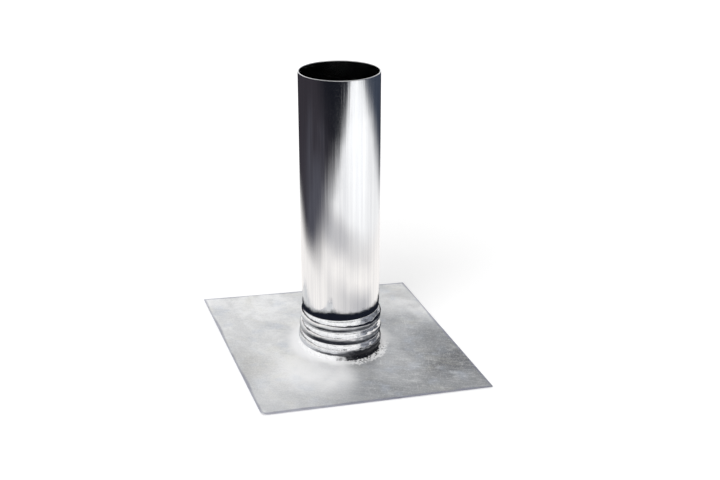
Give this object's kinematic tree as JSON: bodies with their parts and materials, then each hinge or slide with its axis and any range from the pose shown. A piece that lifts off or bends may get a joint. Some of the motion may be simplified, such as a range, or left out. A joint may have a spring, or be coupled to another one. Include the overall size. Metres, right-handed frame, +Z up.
{
  "type": "pipe flashing",
  "caption": "Roof pipe flashing: a round aluminium pipe with a ribbed, bendable foot, welded into a flat square base sheet.",
  "frame": {"origin": "middle of the base sheet's underside", "axes": "+Z up out of the sheet, +X and +Y along the sheet's sides; the pipe leans 4.7 degrees from +Z, towards a heading 156 degrees from +X"},
  "size_m": [0.3, 0.3, 0.3689],
  "materials": {
    "sheet_aluminium": "soft rolled sheet, satin, cloudy with handling marks",
    "drawn_aluminium": "bright drawn pipe with fine lengthwise lines",
    "weld_metal": "bright rippled weld"
  },
  "bodies": {
    "root": {"base_sheet": "sheet_aluminium", "ribbed_pipe": "drawn_aluminium", "weld_seam": "weld_metal"}
  },
  "joints": []
}
